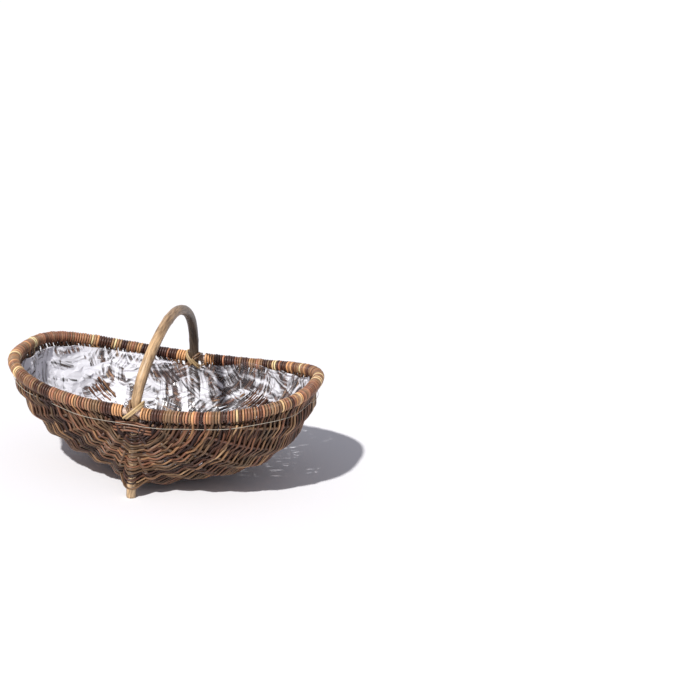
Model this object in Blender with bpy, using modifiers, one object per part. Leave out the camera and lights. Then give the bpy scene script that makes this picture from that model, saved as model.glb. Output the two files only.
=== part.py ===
"""A wicker flower basket: a saddle-shaped oval rim, a bent handle rod whose ends are the feet,
thirteen ribs, the willow weave round them, two lashings and a clear plastic liner.

Units are metres, +Z is up, +X runs along the basket, and the origin is on the floor below its middle.
"""

import math

import bmesh
import bpy
import numpy as np
from mathutils import Vector

# Rim: the line of the rim rod's middle
RIM_HALF_LENGTH = 0.270
RIM_HALF_WIDTH = 0.170
RIM_SQUARENESS = 2.78
RIM_HEIGHT = 0.157
RIM_RISE = 0.0325
RIM_RISE_POWER = 2.27
RIM_ROD_RADIUS = 0.0065
RIM_POINTS = 48

# Gaps between pieces
CLEARANCE = 0.0004
LOOSE_GAP = 0.0007

# Woven body
BELLY_LIFT = 0.0035
WEAVE_THICKNESS = 0.012
KEEL_SQUARENESS = 0.25
LEG_SQUARENESS = 3.0
EAR_FULLNESS = 1.12
LEFT_FULLNESS = 1.93
RIGHT_FULLNESS = 2.26
WEAVE_START = math.radians(2.5)
BANDS_PER_HALF = 3
BAND_ROWS = 3
BAND_COLUMNS_PER_SIDE = 9
LEG_TURNS = (0.06, 0.13, 0.21)

# Rods wrapped round the rim
WRAP_THICKNESS = 0.0045
WRAP_END = 0.018
WRAP_SIDES = 10

# Handle rod, which runs on down through the weave and ends as the feet
HANDLE_ROD_RADIUS = 0.0085
HANDLE_RISE = 0.135
HANDLE_LEAN = 0.0135
ARCH_ROUNDNESS = 1.78
FOOT_INSET = 0.006
FOOT_LENGTH = 0.020
ARCH_POINTS = 22
LEG_POINTS = 6

# Ribs
RIB_RADIUS = 0.003
RIB_STARTS = (16.0, 6.0, 18.0, 7.0, 26.0, 18.0)
RIB_POINTS = 15
RIB_TO_RIM = 0.0165

# Lashing of the handle to the rim
LASH_RADIUS = 0.0016
LASH_TURNS = 2
LASH_GAP = 0.0006
LASH_CLEARANCE = 0.0013
LASH_POINTS_PER_TURN = 24
LASH_HOLLOW_RADIUS = 0.0185
LASH_HOLLOW_LENGTH = 0.042

# Plastic liner and the thread that holds it
LINER_THICKNESS = 0.0012
LINER_GAP = 0.0026
LINER_LEVELS = (0.115, 0.30, 0.52, 0.72, 0.86, 0.94, 0.98)
LINER_COLUMNS = 40
LEG_DENT_SLOPE = 0.35
LEG_DENT_MARGIN = 0.0022
THREAD_RADIUS = 0.0006
THREAD_DEPTH = 0.023
THREAD_POINTS = 48

BELLY_HEIGHT = BELLY_LIFT + WEAVE_THICKNESS / 2
WRAP_RADIUS = RIM_ROD_RADIUS + CLEARANCE + WRAP_THICKNESS
LEG_AT_RIM = RIM_HALF_WIDTH - RIM_ROD_RADIUS - HANDLE_ROD_RADIUS - CLEARANCE
FOOT_SPREAD = RIM_HALF_WIDTH - FOOT_INSET

# Colours, roughness
WOOD_PALE = ((0.55, 0.38, 0.22), 0.60)
WOOD_RIM = ((0.62, 0.47, 0.36), 0.55)
BARK_BROWN = ((0.20, 0.10, 0.055), 0.65)
BARK_WRAP = ((0.33, 0.17, 0.08), 0.60)
RIB_WOOD = ((0.26, 0.16, 0.09), 0.65)
SKEIN_PALE = ((0.60, 0.44, 0.22), 0.50)
SKEIN_DARK = ((0.24, 0.13, 0.07), 0.60)
FILM = ((0.86, 0.88, 0.92), 0.10)
THREAD = ((0.75, 0.72, 0.66), 0.40)


def material(name, look):
    """A plain material of one colour and roughness, made once for each name."""
    found = bpy.data.materials.get(name)
    if found:
        return found
    made = bpy.data.materials.new(name)
    made.use_nodes = True
    shader = made.node_tree.nodes["Principled BSDF"]
    colour, roughness = look
    shader.inputs["Base Color"].default_value = (*colour, 1.0)
    shader.inputs["Roughness"].default_value = roughness
    shader.inputs["Metallic"].default_value = 0.0
    return made


def clear_scene():
    for obj in list(bpy.data.objects):
        bpy.data.objects.remove(obj)


def collection(name):
    made = bpy.data.collections.new(name)
    bpy.context.scene.collection.children.link(made)
    return made


def power(value, exponent):
    """A signed power, as a superellipse uses."""
    return math.copysign(abs(value) ** exponent, value)


def rim_height(x):
    return RIM_HEIGHT + RIM_RISE * abs(x / RIM_HALF_LENGTH) ** RIM_RISE_POWER


def rim_point(angle):
    x = RIM_HALF_LENGTH * power(math.cos(angle), 2 / RIM_SQUARENESS)
    y = RIM_HALF_WIDTH * power(math.sin(angle), 2 / RIM_SQUARENESS)
    return Vector((x, y, rim_height(x)))


def squareness(turn):
    """How square the body is across: as the rim at the rim, and most over the legs."""
    low = math.cos(turn)
    return RIM_SQUARENESS + KEEL_SQUARENESS * low**8 + LEG_SQUARENESS * low**60


def fullness(sweep, turn):
    """How full a row is from rim to rim: a V at the ears, a wide U in the middle."""
    middle = LEFT_FULLNESS if turn < 0 else RIGHT_FULLNESS
    return EAR_FULLNESS + (middle - EAR_FULLNESS) * math.sin(sweep)


def depth_at(sweep, turn):
    """How far down a point is, from the rim's height, 0, to the belly's, 1."""
    out = abs(math.sin(sweep)) ** (2 / squareness(turn))
    return out * abs(math.cos(turn)) ** (2 / fullness(sweep, turn))


def middle_point(sweep, turn):
    """A point in the middle of the weave. sweep goes from the front ear, 0, to the rear one, pi.
    turn goes from the rim's left side, -pi/2, by the keel, 0, to its right side, pi/2."""
    m = squareness(turn)
    out = abs(math.sin(sweep)) ** (2 / m)
    x = RIM_HALF_LENGTH * out * power(math.sin(turn), 2 / fullness(sweep, turn))
    y = -RIM_HALF_WIDTH * power(math.cos(sweep), 2 / m)
    depth = depth_at(sweep, turn)
    return Vector((x, y, rim_height(x) * (1 - depth) + BELLY_HEIGHT * depth))


def body_point(sweep, turn, outward=0.0):
    """middle_point moved outward along the surface's normal."""
    step = 1e-3
    here = middle_point(sweep, turn)
    if not outward:
        return here
    low, high = max(sweep - step, 1e-4), min(sweep + step, math.pi - 1e-4)
    left, right = max(turn - step, -math.pi / 2), min(turn + step, math.pi / 2)
    along = middle_point(high, turn) - middle_point(low, turn)
    across = middle_point(sweep, right) - middle_point(sweep, left)
    normal = along.cross(across).normalized()
    return here + normal * outward


def evenly(points, count, ring=False):
    """count points at equal steps along a line of many points, in a ring without its last."""
    line = np.array([tuple(p) for p in points])
    run = np.append(0, np.cumsum(np.linalg.norm(np.diff(line, axis=0), axis=1)))
    stops = np.linspace(0, run[-1], count + 1 if ring else count)
    stops = stops[:-1] if ring else stops
    return [Vector([np.interp(s, run, line[:, axis]) for axis in range(3)]) for s in stops]


def spaced_angles(point_at, low, high, count):
    """count angles between low and high, at equal steps of length along point_at."""
    angles = np.linspace(low, high, 400)
    line = np.array([tuple(point_at(a)) for a in angles])
    run = np.append(0, np.cumsum(np.linalg.norm(np.diff(line, axis=0), axis=1)))
    return list(np.interp(np.linspace(0, run[-1], count), run, angles))


def sweep_at(depth, turn):
    """The sweep of the point of a rib that lies that far down, on the front half."""
    low, high = 0.0, math.pi / 2
    for _ in range(40):
        middle = (low + high) / 2
        low, high = (middle, high) if depth_at(middle, turn) < depth else (low, middle)
    return low


def level_ring(depth, outward, count):
    """Points round the body at one share of its depth, moved outward, starting at the left end."""
    right = math.acos(depth ** (RIGHT_FULLNESS / 2))
    left = math.acos(depth ** (LEFT_FULLNESS / 2))
    steps = np.cos(np.linspace(0, math.pi, 161))
    quarters = []
    for end in (-1, 1):
        for turns in (-left * steps[:81], -right * steps[80:]):
            line = []
            for turn in turns:
                sweep = sweep_at(depth, turn)
                line.append(body_point(sweep if end < 0 else math.pi - sweep, turn, outward))
            quarters.append(evenly(line, count // 4 + 1))
    front = quarters[0][:-1] + quarters[1]
    rear = quarters[2][:-1] + quarters[3]
    return front + rear[-2:0:-1]


def tube(name, points, radius, look, into, sides=8, ring=False):
    """A rod along points: a poly curve with a round bevel and filled caps."""
    data = bpy.data.curves.new(name, "CURVE")
    data.dimensions = "3D"
    data.bevel_depth = radius
    data.bevel_resolution = (sides - 4) // 2
    data.use_fill_caps = True
    spline = data.splines.new("POLY")
    spline.points.add(len(points) - 1)
    for place, point in zip(spline.points, points):
        place.co = (*point, 1.0)
    spline.use_cyclic_u = ring
    spline.use_smooth = True
    made = bpy.data.objects.new(name, data)
    made.data.materials.append(look)
    into.objects.link(made)
    return made


def as_mesh(curve):
    """The curve as a mesh object with its caps welded, so that it can be cut or cut with."""
    bpy.context.view_layer.update()
    graph = bpy.context.evaluated_depsgraph_get()
    mesh = bpy.data.meshes.new_from_object(curve.evaluated_get(graph))
    solid = bmesh.new()
    solid.from_mesh(mesh)
    bmesh.ops.remove_doubles(solid, verts=solid.verts, dist=1e-6)
    solid.to_mesh(mesh)
    solid.free()
    name, home = curve.name, curve.users_collection[0]
    made = bpy.data.objects.new(name + "_mesh", mesh)
    made.matrix_world = curve.matrix_world
    home.objects.link(made)
    bpy.data.objects.remove(curve)
    made.name = name
    return made


def as_cutter(obj):
    obj.hide_render = True
    obj.display_type = "WIRE"
    return obj


def cut(obj, cutter):
    modifier = obj.modifiers.new("cut " + cutter.name, "BOOLEAN")
    modifier.operation = "DIFFERENCE"
    modifier.object = cutter


def lengthened(points, extra):
    """The same line with its two ends moved out by extra."""
    first = points[0] + (points[0] - points[1]).normalized() * extra
    last = points[-1] + (points[-1] - points[-2]).normalized() * extra
    return [first, *points[1:-1], last]


def handle_points():
    """Foot to foot: up the front leg, over the arch and down the rear leg."""
    half = []
    for step in range(LEG_POINTS):
        share = step / LEG_POINTS
        height = FOOT_LENGTH + (RIM_HEIGHT - FOOT_LENGTH) * share
        half.append(Vector((0, -FOOT_SPREAD + (FOOT_SPREAD - LEG_AT_RIM) * share, height)))
    for step in range(ARCH_POINTS // 2):
        angle = math.pi / 2 * step / (ARCH_POINTS // 2)
        up = power(math.sin(angle), 2 / ARCH_ROUNDNESS)
        inset = power(math.cos(angle), 2 / ARCH_ROUNDNESS)
        place = (HANDLE_LEAN * up**1.5, -LEG_AT_RIM * inset, RIM_HEIGHT + HANDLE_RISE * up)
        half.append(Vector(place))
    front = [Vector((0, -FOOT_SPREAD, 0)), *half]
    rear = [Vector((p.x, -p.y, p.z)) for p in reversed(front)]
    return front + [Vector((HANDLE_LEAN, 0, RIM_HEIGHT + HANDLE_RISE))] + rear


def rib_turns(side):
    """Where one side's ribs lie, at equal steps from the keel to the rim."""
    end = side * math.pi / 2
    turns = spaced_angles(lambda a: middle_point(math.pi / 2, a), 0, end, len(RIB_STARTS) + 2)
    return turns[1:-1]


def clear_of_rim(turn, start):
    """The first sweep from start on, in degrees, where a rib is clear of the wrapped rim."""
    rim = [rim_point(2 * math.pi * n / 360) for n in range(360)]
    while min((middle_point(math.radians(start), turn) - p).length for p in rim) < RIB_TO_RIM:
        start += 0.5
    return math.radians(start)


def rib_points(turn, start):
    sweeps = spaced_angles(lambda a: middle_point(a, turn), start, math.pi - start, RIB_POINTS)
    return [body_point(sweep, turn) for sweep in sweeps]


def keel_start():
    """Where the keel rib starts, just behind the front leg."""
    behind_leg = FOOT_SPREAD - HANDLE_ROD_RADIUS - RIB_RADIUS - LOOSE_GAP
    return math.acos((behind_leg / RIM_HALF_WIDTH) ** (squareness(0) / 2))


def rib_lines():
    """Each rib's name and the line of its middle."""
    lines = {"rib_keel": rib_points(0.0, keel_start())}
    for name, side in (("left", -1), ("right", 1)):
        for number, (turn, start) in enumerate(zip(rib_turns(side), RIB_STARTS), 1):
            lines[f"rib_{name}_{number}"] = rib_points(turn, clear_of_rim(turn, start))
    return lines


def band_turns():
    """The columns of a strip: three close ones on each side of the leg, then equal steps to the rim."""
    sides = []
    for side in (-1, 1):
        start, end = side * LEG_TURNS[-1], side * math.pi / 2
        outer = spaced_angles(
            lambda a: middle_point(math.pi / 2, a), start, end, BAND_COLUMNS_PER_SIDE
        )
        sides.append([side * t for t in LEG_TURNS[:-1]] + outer)
    return sides[0][::-1] + [0.0] + sides[1]


def weave_band(name, end, sweeps, look, into):
    """A closed strip of weave between two rows, as thick inward as outward of the body.
    It keeps to its own end of the basket, -1 in front or 1 behind."""

    def place(sweep, turn, outward):
        point = body_point(sweep, turn, outward)
        point.y = end * max(end * point.y, CLEARANCE / 2)
        return strip.verts.new(point)

    turns = band_turns()
    columns = len(turns) - 1
    strip = bmesh.new()
    outer, inner = (
        [[place(s, t, side * WEAVE_THICKNESS / 2) for t in turns] for s in sweeps]
        for side in (1, -1)
    )
    for sheet in (outer, inner):
        for row, after in zip(sheet, sheet[1:]):
            for n in range(columns):
                strip.faces.new((row[n], row[n + 1], after[n + 1], after[n]))
    for edge in (0, -1):
        for n in range(columns):
            strip.faces.new((outer[edge][n], outer[edge][n + 1], inner[edge][n + 1], inner[edge][n]))
        for n in range(len(sweeps) - 1):
            strip.faces.new((outer[n][edge], outer[n + 1][edge], inner[n + 1][edge], inner[n][edge]))
    bmesh.ops.recalc_face_normals(strip, faces=strip.faces)
    mesh = bpy.data.meshes.new(name)
    strip.to_mesh(mesh)
    strip.free()
    made = bpy.data.objects.new(name, mesh)
    made.data.materials.append(look)
    into.objects.link(made)
    return made


def make_weave(into, cutters):
    """Bands of weave from each ear to the middle. The ribs, legs and rim run in channels cut in them."""
    look = material("weave", BARK_BROWN)
    bounds = spaced_angles(
        lambda a: middle_point(a, math.pi / 4), WEAVE_START, math.pi / 2, BANDS_PER_HALF + 1
    )
    bands = []
    for number in range(BANDS_PER_HALF):
        low, high = bounds[number], bounds[number + 1]
        seam = 2.5 * CLEARANCE / RIM_HALF_WIDTH
        last = high if number == BANDS_PER_HALF - 1 else high - seam
        sweeps = spaced_angles(
            lambda a: middle_point(a, math.pi / 4), low + seam, last, BAND_ROWS + 1
        )
        bands.append(weave_band(f"weave_front_{number + 1}", -1, sweeps, look, into))
        other = [math.pi - s for s in sweeps]
        bands.append(weave_band(f"weave_rear_{number + 1}", 1, other, look, into))
    for band in bands:
        for cutter in cutters:
            cut(band, cutter)


def make_rim(into, cutters):
    points = [rim_point(2 * math.pi * n / 720) for n in range(721)]
    line = evenly(points, RIM_POINTS, ring=True)
    tube("rim_hoop", line, RIM_ROD_RADIUS, material("rim_wood", WOOD_RIM), into, ring=True)
    bore = as_mesh(tube("rim_bore", line, RIM_ROD_RADIUS + CLEARANCE, None, cutters, ring=True))
    as_cutter(bore)
    around = (WRAP_RADIUS + CLEARANCE) / math.cos(math.pi / WRAP_SIDES)
    clear = as_mesh(tube("rim_clearance", line, around, None, cutters, WRAP_SIDES, ring=True))
    as_cutter(clear)
    half = RIM_POINTS // 2
    for side, turned in (("right", line[half:] + line[:half]), ("left", line)):
        sign = 1 if side == "right" else -1
        arc = [p for p in turned if sign * p.x > WRAP_END]
        look = material("rim_wrap", BARK_WRAP)
        wrap = as_mesh(tube(f"rim_wrap_{side}", arc, WRAP_RADIUS, look, into, WRAP_SIDES))
        cut(wrap, bore)
    return clear


def make_ribs(into, cutters):
    made = []
    look = material("rib_wood", RIB_WOOD)
    for name, points in rib_lines().items():
        tube(name, points, RIB_RADIUS, look, into, sides=6)
        longer = lengthened(points, LOOSE_GAP)
        channel = tube(name + "_channel", longer, RIB_RADIUS + CLEARANCE, None, cutters, sides=6)
        made.append(as_cutter(as_mesh(channel)))
    return made


def make_handle(into, cutters):
    points = handle_points()
    tube("handle", points, HANDLE_ROD_RADIUS, material("handle_wood", WOOD_PALE), into, sides=12)
    longer = lengthened(points, FOOT_LENGTH)
    around = HANDLE_ROD_RADIUS + CLEARANCE
    return as_cutter(as_mesh(tube("handle_channel", longer, around, None, cutters, sides=12)))


def lash_point(turns_done, tilt, layer):
    """A point of a lashing strand as (along the rim, outward, up) from the rim's middle.
    The strand lies taut round the rim and the leg, aslant by tilt, on top of the layers below."""
    strand = 2 * LASH_RADIUS + LASH_GAP
    shift = (turns_done - LASH_TURNS / 2) * strand
    lift = LASH_CLEARANCE + LASH_RADIUS + layer * strand
    angle = 2 * math.pi * turns_done
    aslant, outward = math.sin(angle), -math.cos(angle)
    rim = (RIM_ROD_RADIUS + lift, 0.0, -shift / math.tan(tilt))
    leg = (HANDLE_ROD_RADIUS + lift, LEG_AT_RIM - RIM_HALF_WIDTH, shift * math.tan(tilt))
    touched = []
    for radius, place, slide in (rim, leg):
        long, short = radius * math.sqrt(2), radius
        size = math.hypot(long * aslant, short * outward)
        support = size + slide * aslant + place * outward
        here = (slide + long**2 * aslant / size, place + short**2 * outward / size)
        touched.append((support, here))
    reach, out = max(touched)[1]
    x = reach * math.cos(tilt) - shift * math.sin(tilt)
    z = reach * math.sin(tilt) + shift * math.cos(tilt)
    return Vector((x, out, z))


def make_lashings(into):
    """Two strands at each ear, one aslant over the other."""
    count = LASH_TURNS * LASH_POINTS_PER_TURN
    for layer, (kind, tilt) in enumerate((("dark", -math.pi / 4), ("pale", math.pi / 4))):
        many = [lash_point(LASH_TURNS * n / 960, tilt, layer) for n in range(961)]
        line = evenly(many, count + 1)
        look = material("skein_" + kind, SKEIN_PALE if kind == "pale" else SKEIN_DARK)
        for end, side in (("front", -1), ("rear", 1)):
            centre = Vector((0, side * RIM_HALF_WIDTH, RIM_HEIGHT))
            points = [centre + Vector((-side * p.x, side * p.y, p.z)) for p in line]
            tube(f"lashing_{end}_{kind}", points, LASH_RADIUS, look, into, sides=6)
        apart = math.ceil(6 * LASH_RADIUS / (line[1] - line[0]).length)
        least = min((a - b).length for i, a in enumerate(line) for b in line[i + apart :])
        print(f"least gap of the {kind} lashing to itself: {(least - 2 * LASH_RADIUS) * 1000:.2f} mm")


def make_ear_hollows(cutters):
    """Round hollows in the weave that leave room for the lashings."""
    made = []
    for name, side in (("ear_front", -1), ("ear_rear", 1)):
        bpy.ops.mesh.primitive_cylinder_add(
            vertices=16,
            radius=LASH_HOLLOW_RADIUS,
            depth=LASH_HOLLOW_LENGTH,
            location=(0, side * RIM_HALF_WIDTH, RIM_HEIGHT),
            rotation=(0, math.pi / 2, 0),
        )
        hollow = bpy.context.object
        hollow.name = name
        for home in list(hollow.users_collection):
            home.objects.unlink(hollow)
        cutters.objects.link(hollow)
        made.append(as_cutter(hollow))
    return made


def liner_point(point):
    """The same point, drawn in where the liner passes inside a leg of the handle."""
    in_leg = LEG_AT_RIM - HANDLE_ROD_RADIUS - LEG_DENT_MARGIN
    limit = in_leg + LEG_DENT_SLOPE * abs(point.x)
    if abs(point.y) <= limit:
        return point
    return Vector((point.x, math.copysign(limit, point.y), point.z))


def make_liner(into):
    """An open tray of film, lofted through rings at unlike levels and closed at its floor."""
    inward = -(WEAVE_THICKNESS / 2 + LINER_GAP + LINER_THICKNESS / 2)
    tray = bmesh.new()
    rings = []
    for depth in LINER_LEVELS:
        ring = [liner_point(p) for p in level_ring(depth, inward, LINER_COLUMNS)]
        rings.append([tray.verts.new(p) for p in ring])
    for upper, lower in zip(rings, rings[1:]):
        for n in range(LINER_COLUMNS):
            after = (n + 1) % LINER_COLUMNS
            tray.faces.new((upper[n], upper[after], lower[after], lower[n]))
    tray.faces.new(rings[-1])
    bmesh.ops.recalc_face_normals(tray, faces=tray.faces)
    mesh = bpy.data.meshes.new("liner")
    tray.to_mesh(mesh)
    tray.free()
    made = bpy.data.objects.new("liner", mesh)
    made.data.materials.append(material("film", FILM))
    into.objects.link(made)
    thick = made.modifiers.new("thickness", "SOLIDIFY")
    thick.thickness = LINER_THICKNESS
    thick.offset = 0.0


def make_thread(into):
    depth = THREAD_DEPTH / (RIM_HEIGHT - BELLY_HEIGHT)
    outward = WEAVE_THICKNESS / 2 + LOOSE_GAP + THREAD_RADIUS
    points = level_ring(depth, outward, THREAD_POINTS)
    tube("liner_thread", points, THREAD_RADIUS, material("thread", THREAD), into, sides=4, ring=True)


def shade_round(objects):
    for obj in objects:
        if obj.type == "MESH":
            obj.data.shade_smooth()
            obj.data.set_sharp_from_angle(angle=math.radians(50))


def main():
    clear_scene()
    basket = collection("wicker_flower_basket")
    cutters = collection("cutters")
    rim_clearance = make_rim(basket, cutters)
    channels = make_ribs(basket, cutters)
    leg_channel = make_handle(basket, cutters)
    hollows = make_ear_hollows(cutters)
    make_weave(basket, [rim_clearance, leg_channel, *hollows, *channels])
    make_lashings(basket)
    make_liner(basket)
    make_thread(basket)
    shade_round(basket.objects)


main()
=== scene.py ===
"""Looks for the wicker flower basket: each willow rod of the weave, the rods wrapped round the
rim, the handle, ribs and lashings, and the crinkled film liner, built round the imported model.

Units are metres, +Z is up and +X runs along the basket. A point of the body has a sweep, from 0
at the front ear over the middle to pi at the rear ear, and a turn, from -pi/2 at the left rim
under the keel to pi/2 at the right rim. The depth is 0 at the rim and 1 at the keel's middle.
"""

import math

import bpy
import numpy as np
from mathutils import Matrix

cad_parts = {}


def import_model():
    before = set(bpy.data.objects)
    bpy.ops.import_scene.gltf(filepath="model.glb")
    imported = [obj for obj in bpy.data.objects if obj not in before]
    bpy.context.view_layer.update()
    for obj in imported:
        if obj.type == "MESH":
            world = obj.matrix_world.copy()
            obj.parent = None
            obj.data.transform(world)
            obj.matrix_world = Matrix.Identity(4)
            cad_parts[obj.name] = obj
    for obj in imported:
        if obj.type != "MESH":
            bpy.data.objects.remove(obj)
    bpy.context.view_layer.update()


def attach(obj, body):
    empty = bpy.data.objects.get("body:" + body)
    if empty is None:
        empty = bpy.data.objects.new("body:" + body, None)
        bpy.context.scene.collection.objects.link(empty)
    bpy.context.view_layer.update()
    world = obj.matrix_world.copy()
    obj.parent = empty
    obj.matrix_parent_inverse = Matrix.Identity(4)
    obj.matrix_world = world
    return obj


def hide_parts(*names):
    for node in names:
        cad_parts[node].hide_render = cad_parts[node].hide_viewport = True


RNG = np.random.default_rng(11)
LINER_SEED = 5
MIRROR = np.array([1, -1, 1])

# The body's shape, the same as the solids'
RIM_HALF_LENGTH = 0.270
RIM_HALF_WIDTH = 0.170
RIM_SQUARENESS = 2.78
RIM_HEIGHT = 0.157
RIM_RISE = 0.0325
RIM_RISE_POWER = 2.27
RIM_ROD_RADIUS = 0.0065
BELLY_HEIGHT = 0.0095
KEEL_SQUARENESS = 0.25
LEG_SQUARENESS = 3.0
EAR_FULLNESS = 1.12
LEFT_FULLNESS = 1.93
RIGHT_FULLNESS = 2.26
CLEARANCE = 0.0004

# Handle: arch, legs and feet. The thickness goes by shares of the rod's length, a knot stands at a
# length along it.
HANDLE_ROD_RADIUS = 0.0085
HANDLE_RISE = 0.135
HANDLE_LEAN = 0.0135
ARCH_ROUNDNESS = 1.78
FOOT_SPREAD = 0.164
FOOT_LENGTH = 0.020
LEG_AT_RIM = RIM_HALF_WIDTH - RIM_ROD_RADIUS - HANDLE_ROD_RADIUS - CLEARANCE
HANDLE_THICKNESS = ((0, 0.22, 0.3, 0.5, 0.75, 1), (1.0, 1.04, 1.12, 1.06, 1.02, 0.98))
HANDLE_KNOTS = ((0.21, 0.05), (0.345, 0.07), (0.43, 0.04), (0.56, 0.06))
KNOT_LENGTH = 0.006
FOOT_EDGE = 0.93

# Ribs: the degrees of sweep where each starts, from the keel's neighbour up to the rim's
RIB_STARTS = (16.0, 6.0, 18.0, 7.0, 26.0, 18.0)
RIB_START_STEP = 0.5
RIB_TO_RIM = 0.0165
RIB_RADIUS = 0.0027
KEEL_RADIUS = 0.003
KEEL_TO_LEG = 0.0007

# Lashings of the handle to the rim
LASH_TURNS = 2
LASH_RADIUS = 0.0016
LASH_GAP = 0.0006
LASH_CLEARANCE = 0.0003
LASH_TILT = math.pi / 4
LASH_POINTS = 480
SKEIN_WIDTH, SKEIN_FLATNESS = 1.3, 0.7

# Thread that holds the film
THREAD_DEPTH = 0.156
THREAD_RISE = 0.034
THREAD_OFFSET = 0.0042
THREAD_DIP = 0.0045
THREAD_RADIUS = 0.00045
THREAD_STEP = 0.004

# Rows of the weave
ROWS = 72
BANDS = 3
ROD_RADIUS = 0.0024
ROW_STEP = 0.0034
FIRST_ROW_DEPTH = 0.25
LAST_ROW_DEPTH = 0.99995
LAST_ROW_TO_SEAM = 0.0018
FLAT_OVER_LEG = 0.011
ROW_STEP_ON_LEG = 0.0026
ROW_FULLNESS = (1.3, 1.85)
RIB_CLEAR_OF_END = 0.010
SWAY, RIM_SWAY = 0.0036, 1.25
DIP, END_DIP = 0.0042, 0.55
LEG_GAP = 0.0003
OVER_LEG = HANDLE_ROD_RADIUS + ROD_RADIUS + LEG_GAP
WANDER, WANDER_POINTS = 0.0012, 5
SLIP, SLIP_POINTS, ROW_SLIP = 0.0030, 7, 0.0006

# Rods of a row: where they are cut, in points of the row, how their ends tuck in, and their tones
FIRST_CUT, NEXT_CUT = (25, 160), (90, 260)
CUT_FROM, CUT_TO_END = 40, 45
TUCK, TAPER = 0.0030, np.array([0.7, 0.85, 0.95])
PATTERN_SHIFT = 0.05
SHADE_SPREAD, EAR_SHADE_SPREAD = 0.07, 0.03
ROW_THICKNESS, SWELL = (0.82, 1.14), 0.14

# Wraps round the rim. The angles, in degrees, go from straight down and outwards, for a row that
# ends outside the rim (1) or inside it (-1). The first rows' wraps have tones of their own.
WRAP_RADIUS = 0.0024
WRAP_SEAT = 0.9
WRAP_FLATNESS = 0.9
WRAP_END = 0.0195
WRAP_STEPS = 26
WRAP_ANGLES = {1: (52, 395), -1: (308, -35)}
WRAP_LEAVES_WEAVE = 0.0165
WRAP_TO_SEAM = 0.001
SHORTEST_ROW = 8
BRIDGE_POINTS = 4
EAR_WRAPS = ((4, 0.90), (7, 0.08))

# Short dark rods inside the weave, painted shade in the gaps between the rows, and the short ones
# across each leg above the first row
PACKING_INSET, PACKING_WANDER, PACKING_STEP = 0.0052, 0.0003, 0.005
PACKING_START, SHORTEST_PACKING = (2, 4), 5
PACKING_LENGTH, LONG_PACKING, LONG_PACKING_ROWS = (20, 36), 40, 8
PACKING_THICKNESS, GAP_SHADE_TONES = (0.75, 0.95), (0.02, 0.40)
OPEN_TOP = 4
EAR_ROD_DEPTHS = (0.125, 0.235, 4)
EAR_ROD_REACH = (0.030, 0.036)
EAR_ROD_OVER_LEG, EAR_ROD_GAP = 0.013, 0.0001
EAR_ROD_SPREAD, EAR_ROD_DROOP = 0.005, 0.02
EAR_ROD_OUT, EAR_ROD_TUCK = 0.0015, 0.004
EAR_ROD_THICKNESS, EAR_ROD_TONES = (0.78, 0.95), (0.67, 0.73)

# Film liner: points round and down it, its folds, where its edge begins, how far that stays below
# the rim's middle, and the edge's bumps (height, angle, width)
LINER_AROUND, LINER_DOWN = 104, 44
LINER_INSET, LINER_LIFT = 0.0125, 0.0105
LINER_TO_LEG = 0.0028
JITTER_AROUND, JITTER_DOWN = 0.42, 0.4
LINER_FOLDS, FOLD_LENGTH, FOLD_SLOPE = 16, (0.035, 0.12), (0.012, 0.032)
FOLD_LOWEST, FOLD_HIGHEST = -0.0025, 0.008
LINER_EDGE, LINER_EDGE_FROM = -0.013, 0.90
LINER_EDGE_BUMPS = (
    (0.014, 1.05, 0.5), (0.012, 0.35, 0.25), (0.006, 1.9, 0.3),
    (-0.012, 2.75, 0.3), (-0.004, 3.6, 0.3),
)

# Colours along a rod's seed, or along the handle's length
BARK = (
    (0.00, (0.022, 0.009, 0.008)),
    (0.16, (0.046, 0.020, 0.013)),
    (0.30, (0.125, 0.053, 0.032)),
    (0.44, (0.092, 0.057, 0.033)),
    (0.58, (0.165, 0.092, 0.051)),
    (0.70, (0.225, 0.100, 0.060)),
    (0.82, (0.140, 0.094, 0.057)),
    (0.93, (0.330, 0.172, 0.082)),
    (1.00, (0.430, 0.290, 0.170)),
)
# The wraps' bark: the weave's bark painted about twice as light, a painted sunlit copy of the same
# rods
SUNLIT_WRAP_BARK = tuple((place, tuple(min(2.05 * c, 0.70) for c in colour)) for place, colour in BARK)
HANDLE_BARK = (
    (0.00, (0.50, 0.35, 0.205)),
    (0.38, (0.52, 0.345, 0.195)),
    (0.48, (0.340, 0.225, 0.140)),
    (0.60, (0.115, 0.080, 0.053)),
    (1.00, (0.100, 0.070, 0.047)),
)
HANDLE_LENGTH = 0.77
PEELED_WOOD = ((0.0, (0.62, 0.44, 0.36)), (1.0, (0.72, 0.56, 0.46)))
PALE_SKEIN = ((0.0, (0.52, 0.36, 0.17)), (1.0, (0.62, 0.45, 0.24)))
DARK_SKEIN = ((0.0, (0.22, 0.12, 0.06)), (1.0, (0.30, 0.17, 0.09)))
THREAD_COLOUR = (0.50, 0.46, 0.38)

# Patches, streaks and painted light: how fine they are along and round a rod, and what they
# multiply its colour by. The painted light is painted shade on the sides that lie against the next
# rods and a painted highlight on the faces out from and in to the body.
PATCHES, STREAKS = (22.0, 0.8, 3.0), (60.0, 3.2, 4.0)
PATCH_STRENGTH, SEED_SHIFT = 0.85, 57.3
STREAK_RELIEF, ROUGHNESS_SPREAD, ROUGHNESS_DROP = 0.0006, 0.25, 0.12
PATCH_TONES = ((0.35, (0.42, 0.38, 0.36)), (0.55, (1.0, 1.0, 1.0)), (0.72, (1.35, 1.28, 1.15)))
STREAK_TONES = ((0.38, (0.5, 0.46, 0.42)), (0.5, (1.0, 1.0, 1.0)), (0.66, (1.3, 1.25, 1.15)))
PAINTED_LIGHT_TONES = ((0.05, (0.16, 0.13, 0.12)), (0.60, (0.90, 0.90, 0.90)), (1.0, (1.42, 1.38, 1.30)))
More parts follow.
